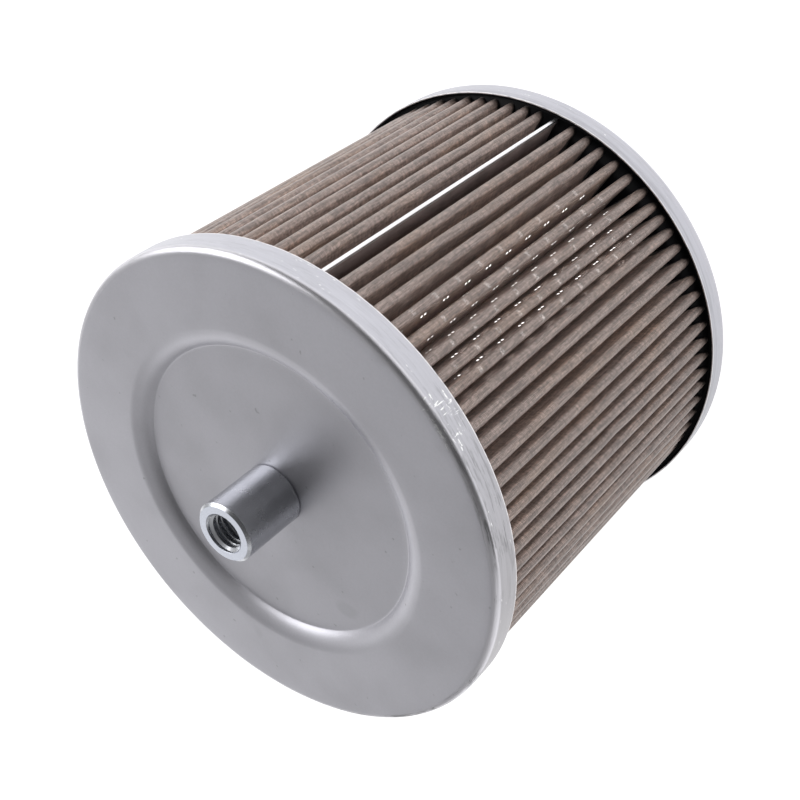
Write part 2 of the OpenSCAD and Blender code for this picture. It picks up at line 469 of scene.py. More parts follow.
@dataclass(frozen=True)
class WovenMesh:
    """Fine woven stainless wire, warm grey, with patches of heat tint."""

    name: str
    crest_radius: float
    warp_pitch: float = 0.42 * MM
    weft_pitch: float = 0.56 * MM
    painted_light_depth: float = 14.0 * MM
    tone: Colour = (0.322, 0.250, 0.224)
    tint: Colour = (0.375, 0.264, 0.206)
    deep: Colour = (0.15, 0.115, 0.105)
    soaked: Colour = (0.010, 0.008, 0.009)
    bloom: Colour = (0.95, 0.80, 0.74)
    daylight: Colour = (0.95, 0.94, 0.92)
    levels: tuple[float, float] = (7.6 * MM, 125.4 * MM)
    climb: float = 8.0 * MM
    least_climb: float = 0.3 * MM
    hole_row: float = 10.0 * MM
    row_shift: float = 0.37
    lit_pleat: float = 78.0
    valley: float = 3.8 * MM

    def make(self) -> bpy.types.Material:
        """Builds the material."""
        shader = Shader(self.name)
        where = shader.place()
        along, across, rise = shader.own("strip"), where.part("x"), where.part("z")
        off_crest = along.size()
        pleat = shader.own("pleat")
        flat = shader.add("ShaderNodeCombineXYZ", {}, {0: along, 1: pleat * 0.037, 2: rise})

        warp = (along * (TURN / self.warp_pitch)).sine()
        weft = (rise * (TURN / self.weft_pitch)).sine()
        weave = warp * weft * 0.5 + 0.5
        holes = (warp.size() * weft.size()).ramp(0.55, 0.95)
        moire = shader.grain(flat * (1.0, 1.0, 0.8), 1500.0, 2.0, 0.75)
        ribs = shader.grain(flat * (0.16, 1.0, 1.0), 1800.0, 1.0)
        streaks = shader.grain(flat * (1.0, 1.0, 0.08), 1900.0, 2.0, 0.7)
        patches = shader.grain(where * (1.0, 1.0, 0.35), 110.0, 3.0).ramp(0.44, 0.70)

        colour = shader.blend(patches * 0.55, self.tone, self.tint)
        colour = shader.blend(holes * 0.45, colour, self.deep)
        colour = colour * (moire.ramp(0.34, 0.66) * 0.46 + 0.77)
        colour = colour * (ribs.ramp(0.3, 0.7) * 0.34 + 0.83)
        colour = colour * (streaks.ramp(0.36, 0.62) * 0.50 + 0.73)
        colour = colour * (weave * 0.9 + 0.55) * (weft * 0.2 + 1.0)

        radius = shader.round_place(where, self.crest_radius).part("y")
        inside = ((self.crest_radius - radius) * (1 / self.painted_light_depth)).most(0.0).least(1.0)
        creased = off_crest.close_to(0.5 * MM, 0.22 * MM, 0.06 * MM) * ribs.ramp(0.42, 0.55)
        # painted highlight: lighter bands along both shoulders of each crest
        crest_highlight = off_crest.band(1.1 * MM, 1.5 * MM, 1.8 * MM, 2.7 * MM)
        crest = off_crest.ramp(2.6 * MM, 1.9 * MM)
        # painted light: the mesh gets lighter deeper down in the valleys, where the pleats shade it
        colour = colour * (inside * 0.7 + 1.02)
        colour = shader.blend(creased * 0.35, colour, self.deep)
        colour = colour * (crest_highlight * 0.30 + 1.0)
        colour = shader.blend(self.wet(shader, where, off_crest), colour, self.soaked)
        # painted shade: the mesh darkens towards the -X side
        colour = colour * (1.0 - crest * 0.04) * (1.0 - across.ramp(-15 * MM, -70 * MM) * 0.20)

        glints = self.glints(shader, flat, off_crest, pleat, rise)
        return shader.paint(base_color=colour, roughness=(moire - 0.5) * 0.2 + 0.5, metallic=0.30,
                            coat_weight=crest * 0.6, coat_roughness=0.32,
                            sheen_weight=0.15, sheen_roughness=0.35, sheen_tint=self.bloom,
                            emission_color=shader.blend(glints, (0.0, 0.0, 0.0), self.daylight),
                            emission_strength=4.8,
                            normal=shader.bump(weave * 0.5 + moire, 0.06 * MM, 0.7))

    def glints(self, shader: Shader, flat: Signal, off_crest: Signal, pleat: Signal,
               rise: Signal) -> Signal:
        """Light specks in rows, where the core's holes let light through a few of the pleats.

        Args:
            shader: The material.
            flat: The strip's own coordinates.
            off_crest: Length along the strip from its crest, to either side.
            pleat: The pleat's number.
            rise: Height.

        Returns:
            The specks as a mask.
        """
        from_hole = ((rise / self.hole_row + pleat * self.row_shift).fraction() - 0.5).size()
        twins = from_hole.close_to(0.08, 0.034, 0.015)
        valleys = off_crest.close_to(self.valley, 0.50 * MM, 0.32 * MM)
        valleys = valleys.most(off_crest.ramp(19 * MM, 20 * MM))
        crumbs = shader.grain(flat, 3600.0, 1.0).ramp(0.50, 0.60)
        crests = off_crest.ramp(1.0 * MM, 0.6 * MM) * (0.5 - from_hole).ramp(0.08, 0.04)
        lit = pleat.close_to(self.lit_pleat, 2.9, 2.2)
        lit = lit * rise.band(18 * MM, 30 * MM, 110 * MM, 120 * MM)
        gaps = shader.grain(shader.place(), 260.0, 1.0).ramp(0.28, 0.40)
        return (valleys * twins + crests * crumbs * 0.11) * lit * gaps

    def wet(self, shader: Shader, where: Signal, off_crest: Signal) -> Signal:
        """Mesh that drank the black potting, higher up inside the valleys than at the crests.

        Args:
            shader: The material.
            where: Object coordinates.
            off_crest: Length along the strip from its crest, to either side.

        Returns:
            How soaked the mesh is, as a mask.
        """
        low, high = self.levels
        across, rise = where.part("x"), where.part("z")
        deep = ((off_crest - 0.6 * MM) * 1.8).most(0.0).least(self.climb)
        front = across.ramp(64 * MM, 25 * MM).least(across.ramp(-74 * MM, -50 * MM))
        uneven = shader.grain(where, 300.0, 2.0) * MM
        above = rise - low - (deep + self.least_climb) * front
        return (above.least(high - rise - deep * 0.2) - uneven).ramp(1.2 * MM, 0.0)


@dataclass(frozen=True)
class Epoxy:
    """Black potting, glossy where it ran and dusty in places."""

    name: str
    tone: Colour = (0.003, 0.003, 0.004)
    dust_tone: Colour = (0.012, 0.011, 0.012)

    def make(self) -> bpy.types.Material:
        """Builds the material."""
        shader = Shader(self.name)
        where = shader.place()
        dust = shader.grain(where, 160.0, 4.0).ramp(0.5, 0.75)
        waves = shader.grain(where, 220.0, 2.0)
        colour = shader.blend(dust * 0.3, self.tone, self.dust_tone)
        return shader.paint(base_color=colour, roughness=dust * 0.2 + 0.45, specular_ior_level=0.1,
                            normal=shader.bump(waves, 0.25 * MM, 0.4))


@dataclass(frozen=True)
class Nitrile:
    """Moulded black rubber with a faint bloom."""

    name: str
    tone: Colour = (0.018, 0.018, 0.019)
    bloom_tone: Colour = (0.045, 0.044, 0.043)

    def make(self) -> bpy.types.Material:
        """Builds the material."""
        shader = Shader(self.name)
        where = shader.place()
        bloom = shader.grain(where, 90.0, 3.0).ramp(0.45, 0.75)
        grain = shader.grain(where, 2600.0, 2.0, 0.7)
        colour = shader.blend(bloom * 0.5, self.tone, self.bloom_tone)
        return shader.paint(base_color=colour, roughness=bloom * 0.12 + 0.52,
                            normal=shader.bump(grain, 0.02 * MM, 0.5))


@dataclass(frozen=True)
class Corner:
    """A corner of a half section: its place, the radius of its bend and the bend's steps."""

    radius: float
    height: float
    bend: float = 0.0
    steps: int = 6

    def point(self) -> Vector:
        """The corner in the plane that is spun."""
        return Vector((self.radius, 0.0, self.height))


def put(name: str, data: bpy.types.ID) -> bpy.types.Object:
    """Makes an object of its data and links it to the scene."""
    item = bpy.data.objects.new(name, data)
    bpy.context.scene.collection.objects.link(item)
    return item


def only(kind: type, geometry: list) -> list:
    """Vertices, edges or faces alone, out of what an operator gives back."""
    return [item for item in geometry if isinstance(item, kind)]


class Form:
    """A bmesh on its way to one piece of the cartridge."""

    def __init__(self) -> None:
        """Starts empty."""
        self.mesh = bmesh.new()

    def chain(self, corners: list[Corner], closed: bool) -> None:
        """Draws a half section with its bends.

        Args:
            corners: The corners in order.
            closed: Whether the last corner joins the first.
        """
        verts = [self.mesh.verts.new(corner.point()) for corner in corners]
        pairs = list(zip(verts, verts[1:])) + ([(verts[-1], verts[0])] if closed else [])
        for first, second in pairs:
            self.mesh.edges.new((first, second))
        ends = len(corners)
        for place, (corner, vert) in enumerate(zip(corners, verts)):
            if not corner.bend:
                continue
            back = corners[place - 1].point() - corner.point()
            ahead = corners[(place + 1) % ends].point() - corner.point()
            reach = corner.bend / math.tan(back.angle(ahead) / 2)
            self.bend([vert], reach, corner.steps)

    def bend(self, verts: list[bmesh.types.BMVert], reach: float, steps: int) -> None:
        """Rounds corners of a line, each from the given reach on both sides."""
        bmesh.ops.bevel(self.mesh, geom=verts, offset=reach, offset_type="OFFSET",
                        affect="VERTICES", segments=steps, profile=0.5, material=-1)

    def divide(self, longest: float) -> None:
        """Cuts every edge that is longer than the given length."""
        for edge in list(self.mesh.edges):
            cuts = math.ceil(edge.calc_length() / longest) - 1
            if cuts > 0:
                bmesh.ops.subdivide_edges(self.mesh, edges=[edge], cuts=cuts)

    def everything(self) -> list:
        """All that is drawn: vertices, edges and faces."""
        return self.mesh.verts[:] + self.mesh.edges[:] + self.mesh.faces[:]

    def spin(self, steps: int) -> None:
        """Spins a line into a closed body of revolution."""
        bmesh.ops.spin(self.mesh, geom=self.everything(), cent=ORIGIN, axis=AXIS, angle=TURN,
                       steps=steps, use_merge=True)
        self.weld()

    def repeat(self, times: int) -> None:
        """Repeats all that is drawn round the axis, and welds the copies."""
        bmesh.ops.spin(self.mesh, geom=self.everything(), cent=ORIGIN, axis=AXIS, angle=TURN,
                       steps=times, use_duplicate=True)
        self.weld(0.01 * MM)

    def grow(self, edges: list[bmesh.types.BMEdge]) -> tuple[list, list]:
        """Extrudes edges where they are.

        Args:
            edges: The edges.

        Returns:
            The new vertices and the new edges.
        """
        grown = bmesh.ops.extrude_edge_only(self.mesh, edges=edges)["geom"]
        return only(bmesh.types.BMVert, grown), only(bmesh.types.BMEdge, grown)

    def raise_line(self, height: float, steps: int) -> None:
        """Extrudes a line upwards into a wall, in equal steps."""
        edges = self.mesh.edges[:]
        for _ in range(steps):
            verts, edges = self.grow(edges)
            bmesh.ops.translate(self.mesh, vec=AXIS * (height / steps), verts=verts)

    def turn(self, angle: float) -> None:
        """Turns all that is drawn round the axis."""
        bmesh.ops.rotate(self.mesh, verts=self.mesh.verts, cent=ORIGIN,
                         matrix=Matrix.Rotation(angle, 3, "Z"))

    def weld(self, distance: float = 0.002 * MM) -> None:
        """Merges vertices that meet and points every face outwards."""
        bmesh.ops.remove_doubles(self.mesh, verts=self.mesh.verts, dist=distance)
        bmesh.ops.recalc_face_normals(self.mesh, faces=self.mesh.faces)

    def settle(self, move: Callable[[Vector], Vector]) -> None:
        """Moves every vertex by a rule."""
        for vert in self.mesh.verts:
            vert.co = move(vert.co.copy())

    def publish(self, name: str, node: str, slot: Slot,
                finish: bpy.types.Material) -> bpy.types.Object:
        """Turns the form into a finished piece of the cartridge.

        Args:
            name: The piece's name.
            node: The CAD node that it stands for.
            slot: The record's slot for its finish; not used.
            finish: The material that it wears.

        Returns:
            The new object, riding on the part's one body.
        """
        for face in self.mesh.faces:
            face.smooth = True
        data = bpy.data.meshes.new(name)
        self.mesh.to_mesh(data)
        self.mesh.free()
        data.materials.append(finish)
        piece = put(name, data)
        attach(piece, "root")
        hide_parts(node)
        LOG.info("%s: %d faces", name, len(data.polygons))
        return piece


def crease(piece: bpy.types.Object, degrees: float = 40.0) -> None:
    """Keeps edges sharper than the given angle crisp under smooth shading."""
    piece.data.set_sharp_from_angle(angle=math.radians(degrees))


def ease(piece: bpy.types.Object, width: float, degrees: float = 40.0, segments: int = 2) -> None:
    """Rounds a piece's sharp edges with a live bevel.

    Args:
        piece: The piece.
        width: The bevel's width.
        degrees: Edges that turn more than this are rounded.
        segments: Steps of each rounding.
    """
    bevel = piece.modifiers.new("eased edges", "BEVEL")
    bevel.width = width
    bevel.segments = segments
    bevel.limit_method = "ANGLE"
    bevel.angle_limit = math.radians(degrees)
    bevel.harden_normals = True


def shell(piece: bpy.types.Object, thickness: float, offset: float) -> bpy.types.Modifier:
    """Gives a surface its wall.

    Args:
        piece: The piece.
        thickness: The wall's thickness.
        offset: -1 to grow behind the faces, 0 to both sides.

    Returns:
        The modifier.
    """
    wall = piece.modifiers.new("wall", "SOLIDIFY")
    wall.thickness = thickness
    wall.offset = offset
    wall.use_even_offset = True
    return wall


@dataclass
class EndCap:
    """One pressed end cap, with the details that both have."""

    name: str
    finish: bpy.types.Material
    rim_bend: float = 2.2 * MM
    skirt: float = 9.2 * MM
    segments: int = 224
    longest: float = 2.2 * MM
    rounding: float = 0.12 * MM
    edge_share: float = 0.15
    thinnest: float = 0.3
    edge_reach: float = 3.0 * MM
    edge_wobble: float = 0.16 * MM
    wobble_reach: float = 1.2 * MM
    dip: float = 0.0006

    def __post_init__(self) -> None:
        """Reads the cap's radius and heights from its CAD node."""
        low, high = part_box(self.name)
        self.radius, self.low, self.top = high.x, low.z, high.z

    def press(self, form: Form, name: str, edge_height: float) -> None:
        """Makes the cap of its spun face, with a wall that thins towards the skirt's sheared edge.

        Args:
            form: The face.
            name: The piece's name.
            edge_height: Height of the skirt's edge.
        """
        piece = form.publish(name, self.name, Slot.CAP, self.finish)
        group = piece.vertex_groups.new(name="full wall")
        for vert in piece.data.vertices:
            share = self.edge_share + abs(vert.co.z - edge_height) / self.edge_reach
            group.add([vert.index], min(1.0, share), "REPLACE")
        wall = shell(piece, SHEET, -1.0)
        wall.vertex_group = group.name
        wall.thickness_vertex_group = self.thinnest
        ease(piece, self.rounding, 60.0)

    def ragged(self, edge_height: float) -> Callable[[Vector], Vector]:
        """A rule that makes the sheared edge of the skirt a little uneven, and the rim less round.

        Args:
            edge_height: Height of the skirt's edge.

        Returns:
            The rule, for one vertex.
        """
        towards_face = 1.0 if self.low > 0.0 else -1.0

        def move(point: Vector) -> Vector:
            """Moves one vertex."""
            near = max(0.0, 1.0 - abs(point.z - edge_height) / self.wobble_reach)
            rim = Vector((point.x, point.y, 0.0))
            if near > 0.0 and rim.length > self.radius - 5 * MM:
                wave = noise.noise(rim * 260.0) + 0.5 * noise.noise(rim * 900.0)
                point.z += towards_face * abs(wave) * self.edge_wobble * near
            inward = (0.5 + 0.5 * noise.noise(point * 24.0)) * self.dip
            point.x *= 1 - inward
            point.y *= 1 - inward
            return point

        return move


@dataclass
class ClosedCap(EndCap):
    """The cap that carries the boss, with a round dish pressed into its face."""

    dish_depth: float = 3.2 * MM
    dish_foot: float = 45.5 * MM
    dish_slope: float = math.radians(46.0)
    lip_bend: float = 8.0 * MM
    foot_bend: float = 0.7 * MM
    hole: float = 7.0 * MM
    sag: float = 0.05 * MM

    def build(self) -> None:
        """Builds the cap's sheet by spinning its outer line."""
        top = self.top
        floor = top - self.dish_depth
        half = math.tan(self.dish_slope / 2)
        foot = self.dish_foot + self.foot_bend * half
        lip = foot + self.dish_depth / math.tan(self.dish_slope)
        form = Form()
        form.chain([
            Corner(self.radius, top - self.skirt),
            Corner(self.radius, top, self.rim_bend, 8),
            Corner(lip, top, self.lip_bend, 14),
            Corner(foot, floor, self.foot_bend, 5),
            Corner(self.hole, floor)], closed=False)
        form.divide(self.longest)
        form.spin(self.segments)
        form.settle(self.ragged(top - self.skirt))
        form.settle(self.soft_face)
        self.press(form, "cap_with_dish", top - self.skirt)

    def soft_face(self, point: Vector) -> Vector:
        """Sinks the pressed face by a hair here and there, as thin sheet does."""
        if point.z > self.top - self.dish_depth - 0.2 * MM:
            point.z -= (0.5 + 0.5 * noise.noise(point * 17.0)) * self.sag
        return point


@dataclass
class OpenCap(EndCap):
    """The cap that the cartridge stands on, with a collar drawn inwards round the outlet."""

    collar_radius: float = 47.5 * MM
    mouth_bend: float = 3.0 * MM

    def build(self) -> None:
        """Builds the cap's sheet by spinning its outer line."""
        form = Form()
        form.chain([
            Corner(self.radius, self.skirt),
            Corner(self.radius, self.low, self.rim_bend, 8),
            Corner(self.collar_radius, self.low, self.mouth_bend, 8),
            Corner(self.collar_radius, self.top)], closed=False)
        form.divide(self.longest)
        form.spin(self.segments)
        form.settle(self.ragged(self.skirt))
        self.press(form, "cap_with_outlet", self.skirt)


@dataclass
class Boss:
    """The turned boss with its real thread, the spigot through the cap and the washer behind it."""

    finish: bpy.types.Material
    washer_finish: bpy.types.Material
    floor: float
    radius: float = 9.25 * MM
    chamfer: float = 0.8 * MM
    foot_chamfer: float = 0.3 * MM
    spigot: float = 7.0 * MM
    head: float = 8.75 * MM
    head_bend: float = 1.2 * MM
    rounding: float = 0.15 * MM
    longest: float = 3.0 * MM
    pitch: float = 1.75 * MM
    crest: float = 5.1 * MM
    root: float = 6.0 * MM
    mouth: float = 6.1 * MM
    depth: float = 17.0 * MM
    drill: float = math.radians(118.0)
    segments: int = 128
    washer_segments: int = 96
    turn_steps: int = 56

    def build(self) -> None:
        """Builds the boss and its washer."""
        low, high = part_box("threaded_boss")
        washer_low, washer_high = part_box("boss_washer")
        radius, top = self.radius, high.z
        tap = top - self.depth
        point = tap - self.crest / math.tan(self.drill / 2)
        form = Form()
        form.chain([
            Corner(0.0, point),
            Corner(self.crest, tap),
            Corner(self.mouth, tap),
            Corner(self.mouth, top - 0.1 * MM),
            Corner(self.mouth + 0.1 * MM, top),
            Corner(radius - self.chamfer, top),
            Corner(radius, top - self.chamfer),
            Corner(radius, self.floor + self.foot_chamfer),
            Corner(radius - self.foot_chamfer, self.floor),
            Corner(self.spigot, self.floor),
            Corner(self.spigot, washer_low.z),
            Corner(self.head, washer_low.z),
            Corner(self.head, low.z, self.head_bend, 5),
            Corner(0.0, low.z)], closed=False)
        form.divide(self.longest)
        form.spin(self.segments)
        self.cut_thread(form, top)
        boss = form.publish("boss_with_thread", "threaded_boss", Slot.ZINC, self.finish)
        ease(boss, self.rounding, 25.0, 3)
        ring = Form()
        ring.chain([
            Corner(self.spigot, washer_low.z), Corner(washer_high.x, washer_low.z),
            Corner(washer_high.x, washer_high.z), Corner(self.spigot, washer_high.z)], closed=True)
        ring.spin(self.washer_segments)
        washer = ring.publish("backing_washer", "boss_washer", Slot.WASHER, self.washer_finish)
        ease(washer, self.rounding)

    def cut_thread(self, form: Form, top: float) -> None:
        """Adds the thread's turns inside the bore.

        Args:
            form: The boss so far.
            top: Height of its free end.
        """
        sleeve = Form()
        start = top - self.depth
        sleeve.chain([
            Corner(self.root, start), Corner(self.root, start + self.pitch / 8),
            Corner(self.crest, start + self.pitch * 7 / 16),
            Corner(self.crest, start + self.pitch * 11 / 16),
            Corner(self.root, start + self.pitch)], closed=False)
        turns = math.ceil(self.depth / self.pitch) + 1
        profile = sleeve.mesh.verts[:] + sleeve.mesh.edges[:]
        bmesh.ops.translate(sleeve.mesh, verts=sleeve.mesh.verts, vec=-AXIS * self.pitch)
        bmesh.ops.spin(sleeve.mesh, geom=profile, cent=ORIGIN, axis=AXIS, angle=TURN * turns,
                       steps=self.turn_steps * turns, dvec=AXIS * (self.pitch / self.turn_steps))
        for height, side in ((top, 1.0), (start, -1.0)):
            bmesh.ops.bisect_plane(sleeve.mesh, geom=sleeve.everything(), plane_co=AXIS * height,
                                   plane_no=AXIS * side, clear_outer=True)

        def countersink(place: Vector) -> Vector:
            """Opens the first turn to the cone at the mouth."""
            out = math.hypot(place.x, place.y)
            least = self.mouth - (top - place.z)
            scale = max(1.0, least / out)
            return Vector((place.x * scale, place.y * scale, place.z))

        sleeve.settle(countersink)
        sleeve.weld()
        bmesh.ops.reverse_faces(sleeve.mesh, faces=sleeve.mesh.faces)
        passed_on = bpy.data.meshes.new("thread turns")
        sleeve.mesh.to_mesh(passed_on)
        sleeve.mesh.free()
        form.mesh.from_mesh(passed_on)
        bpy.data.meshes.remove(passed_on)


@dataclass
class CoreTube:
    """The perforated tube inside the pleats, made of one cell of sheet round one hole."""

    finish: bpy.types.Material
    hole: float = 3.0 * MM
    pitch: float = 10.0 * MM
    columns: int = 36
    band: float = 13.0 * MM
    hole_steps: int = 16

    def build(self) -> None:
        """Builds the tube's outer surface cell by cell, and gives it its wall."""
        low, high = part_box("core_tube")
        radius = high.x
        height = high.z - low.z
        rows = math.floor((height - 2 * self.band) / self.pitch - 0.5)
        first = low.z + (height - (rows - 0.5) * self.pitch) / 2
        width = TURN / self.columns * radius
        form = Form()
        for column in range(2):
            centres = [first + (row + column / 2) * self.pitch for row in range(rows)]
            self.column(form, column * width, width, centres, low.z, high.z)
        form.settle(lambda flat: Vector((radius * math.cos(flat.x / radius),
                                         radius * math.sin(flat.x / radius), flat.z)))
        form.repeat(self.columns // 2)
        piece = form.publish("perforated_core", "core_tube", Slot.CORE, self.finish)
        shell(piece, SHEET, -1.0)
        crease(piece, 50.0)

    def column(self, form: Form, middle: float, width: float, centres: list[float],
               low: float, high: float) -> None:
        """Lays out one column of cells flat, with x as the length round.

        Args:
            form: The form that gets the column.
            middle: Length round to the column's middle.
            width: The column's width.
            centres: Heights of its holes.
            low: The tube's lowest height.
            high: Its highest height.
        """
        half_w, half_h = width / 2, self.pitch / 2
        tip = math.tan(math.pi / 8)
        for centre in centres:
            place = Matrix.Translation((middle, 0.0, centre)) @ Matrix.Rotation(math.pi / 2, 4, "X")
            ring = bmesh.ops.create_circle(form.mesh, segments=self.hole_steps, radius=self.hole,
                                           matrix=place)
            edges = list({edge for vert in ring["verts"] for edge in vert.link_edges})
            for vert in form.grow(edges)[0]:
                across, up = vert.co.x - middle, vert.co.z - centre
                reach = max(abs(across), abs(up))
                vert.co.x = middle + across / reach * half_w
                vert.co.z = centre + up / reach * half_h
        for edge_height, end in ((centres[0] - half_h, low), (centres[-1] + half_h, high)):
            verts = [form.mesh.verts.new((middle + half_w * share, 0.0, edge_height))
                     for share in (-1.0, -tip, 0.0, tip, 1.0)]
            edges = [form.mesh.edges.new(pair) for pair in zip(verts, verts[1:])]
            for vert in form.grow(edges)[0]:
                vert.co.z = end


@dataclass
class PleatPack:
    """The pleated mesh, made of one half pleat, and the clip over its side seam."""

    finish: bpy.types.Material
    clip_finish: bpy.types.Material
    pleats: int = 84
    mesh: float = 0.5 * MM
    crest_bend: float = 1.30 * MM
    squareness: float = 2.1
    root_bend: float = 0.8 * MM
    root_gap: float = 0.3 * MM
    seam: float = math.radians(-61.0)
    clip: float = 0.22 * MM
    clip_depth: float = 11.0 * MM
    clip_half: float = 0.60 * MM
    clip_bend: float = 0.3 * MM
    rise_steps: int = 16
    most_lean: float = 0.30 * MM
    most_twist: float = 0.28 * MM
    most_sink: float = 0.35 * MM
    dent_chance: float = 0.3
    seam_half: float = 0.09 * MM
    seam_sink: float = 0.8 * MM

    def __post_init__(self) -> None:
        """Reads the pack's box, and draws each pleat's own small faults from one seed."""
        low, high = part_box("pleated_mesh")
        self.low, self.high = low.z, high.z
        self.crest_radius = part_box("top_end_cap")[1].x - CREST_INSET
        self.core_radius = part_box("core_tube")[1].x
        draw = random.Random(SEED)
        self.lean = [draw.uniform(-1.0, 1.0) for _ in range(self.pleats)]
        self.twist = [draw.uniform(-1.0, 1.0) for _ in range(self.pleats)]
        self.sink = [draw.uniform(0.0, 1.0) for _ in range(self.pleats)]
        self.dents = {}
        for pleat in range(self.pleats):
            if draw.random() < self.dent_chance:
                place = draw.uniform(0.2, 0.8) * (self.high - self.low) + self.low
                push = draw.uniform(-0.5, 0.5) * MM
                self.dents[pleat] = (place, push, draw.uniform(3.0, 7.0) * MM)

    def half_pleat(self, form: Form) -> None:
        """Draws the middle line of half a pleat, from its crest to its root, on the ray at angle 0.

        Args:
            form: The form that gets the line.
        """
        half = math.pi / self.pleats
        crest = Vector((self.crest_radius - self.mesh / 2 - self.crest_bend, 0.0, self.low))
        root_out = self.core_radius + self.root_gap + self.mesh / 2 + self.root_bend
        root = Vector((root_out * math.cos(half), root_out * math.sin(half), self.low))
        between = crest - root
        lean = math.asin((self.crest_bend + self.root_bend) / between.length)
        lean -= math.atan2(-between.y, between.x)
        turn_out = math.pi / 2 + lean
        turn_in = math.pi / 2 - lean + half
        apex = form.mesh.verts.new(crest + Vector((self.crest_bend, 0.0, 0.0)))
        bmesh.ops.spin(form.mesh, geom=[apex], cent=crest, axis=AXIS, angle=turn_out, steps=7)
        crest_end = min(form.mesh.verts, key=lambda vert: vert.co.x)
        inwards = Vector((-math.cos(half), -math.sin(half), 0.0))
        bottom = form.mesh.verts.new(root + inwards * self.root_bend)
        bmesh.ops.spin(form.mesh, geom=[bottom], cent=root, axis=AXIS, angle=-turn_in, steps=4)
        root_arc = [vert for vert in form.mesh.verts
                    if (vert.co - root).length < self.root_bend * 1.01]
        root_end = max(root_arc, key=lambda vert: vert.co.x)
        for vert in form.mesh.verts:
            spoke = vert.co - crest
            if spoke.length < self.crest_bend * 1.01:
                power = self.squareness
                sides = [abs(side) / self.crest_bend for side in spoke.xy]
                vert.co = crest + spoke * sum(side ** power for side in sides) ** (-1 / power)
        flank = form.mesh.edges.new((crest_end, root_end))
        bmesh.ops.subdivide_edges(form.mesh, edges=[flank], cuts=4)

    def build(self) -> None:
        """Builds the pack and its clip."""
        form = Form()
        strip = form.mesh.verts.layers.float.new("strip")
        order = form.mesh.verts.layers.float.new("pleat")
        self.half_pleat(form)
        self.measure(form, strip)
        form.raise_line(self.high - self.low, self.rise_steps)
        bmesh.ops.mirror(form.mesh, geom=form.everything(), matrix=Matrix.Identity(4),
                         merge_dist=0.001 * MM, axis="Y")
        for vert in form.mesh.verts:
            vert[strip] = math.copysign(vert[strip], vert.co.y)
        form.turn(self.seam)
        form.repeat(self.pleats)
        for vert in form.mesh.verts:
            vert[order] = self.pleat_of(vert.co)
        form.settle(self.uneven)
        pack = form.publish("pleated_wire_mesh", "pleated_mesh", Slot.MESH, self.finish)
        shell(pack, self.mesh, 0.0)
        self.build_clip()

    def measure(self, form: Form, layer: bmesh.types.BMLayerItem) -> None:
        """Writes each vertex's length along the line from the crest into a layer.

        Args:
            form: The form that holds the line.
            layer: The layer to fill.
        """
        vert = max(form.mesh.verts, key=lambda item: item.co.x)
        length, edge = 0.0, None
        while True:
            vert[layer] = length
            ahead = [item for item in vert.link_edges if item is not edge]
            if not ahead:
                return
            edge = ahead[0]
            length += edge.calc_length()
            vert = edge.other_vert(vert)

    def pleat_of(self, point: Vector) -> int:
        """Number of the pleat that a point belongs to, counted from the seam."""
        angle = math.atan2(point.y, point.x) - self.seam
        return round(angle / (TURN / self.pleats)) % self.pleats

    def uneven(self, point: Vector) -> Vector:
        """Moves a vertex as hand-folded mesh sits: leaning, sunk, or dented here and there.

        Args:
            point: The vertex's place.

        Returns:
            Its new place.
        """
        pleat = self.pleat_of(point)
        ray = self.seam + pleat * TURN / self.pleats
        along_ray = Vector((math.cos(ray), math.sin(ray), 0.0))
        across_ray = Vector((-math.sin(ray), math.cos(ray), 0.0))
        along, across = point.dot(along_ray), point.dot(across_ray)
        inner = self.core_radius + 3.0 * MM
        share = min(1.0, max(0.0, (along - inner) / (self.crest_radius - inner)))
        if pleat == 0:
            under_clip = self.crest_radius - self.clip_depth
            limit = self.seam_half + max(0.0, under_clip - along) * 0.26
            across = math.copysign(min(abs(across), limit), across)
            along -= self.seam_sink * share
        else:
            height = (point.z - self.low) / (self.high - self.low)
            wave = math.sin(TURN * 0.8 * height + pleat)
            across += share * (self.lean[pleat] * self.most_lean - self.crowding(pleat))
            across += share * self.twist[pleat] * self.most_twist * wave
            along -= share * self.sink[pleat] * self.most_sink
            if pleat in self.dents:
                place, push, reach = self.dents[pleat]
                across += share ** 3 * push * math.exp(-((point.z - place) / reach) ** 2)
        return along_ray * along + across_ray * across + AXIS * point.z

    def crowding(self, pleat: int) -> float:
        """How far a crest is pushed round by the seam, which was joined last and takes more room.

        Args:
            pleat: The pleat's number, counted from the seam.

        Returns:
            The push, in metres, away from the seam on its crowded side.
        """
        place = pleat if pleat <= self.pleats / 2 else pleat - self.pleats
        back = -place
        near = 0.6 * math.exp(-back / 8) if back > 0 else -0.3 * math.exp(-place / 3)
        crowded = 2.0 * math.exp(-((back - 5.8) / 2.8) ** 2)
        opened = 0.95 * math.exp(-((back - 17.5) / 3.6) ** 2)
        return (near + (crowded - opened)) * MM

    def build_clip(self) -> None:
        """Builds the folded strip over the seam."""
        half = self.clip_half
        foot = self.crest_radius - self.clip_depth
        form = Form()
        spots = [(foot, half), (self.crest_radius, half), (self.crest_radius, -half), (foot, -half)]
        verts = [form.mesh.verts.new((along, across, self.low)) for along, across in spots]
        for pair in zip(verts, verts[1:]):
            form.mesh.edges.new(pair)
        form.bend(verts[1:3], self.clip_bend, 4)
        form.raise_line(self.high - self.low, self.rise_steps)
        form.turn(self.seam)
        bmesh.ops.recalc_face_normals(form.mesh, faces=form.mesh.faces)
        clip = form.publish("side_seam_clip", "seam_clip", Slot.STRIP, self.clip_finish)
        shell(clip, self.clip, -1.0)
        crease(clip)


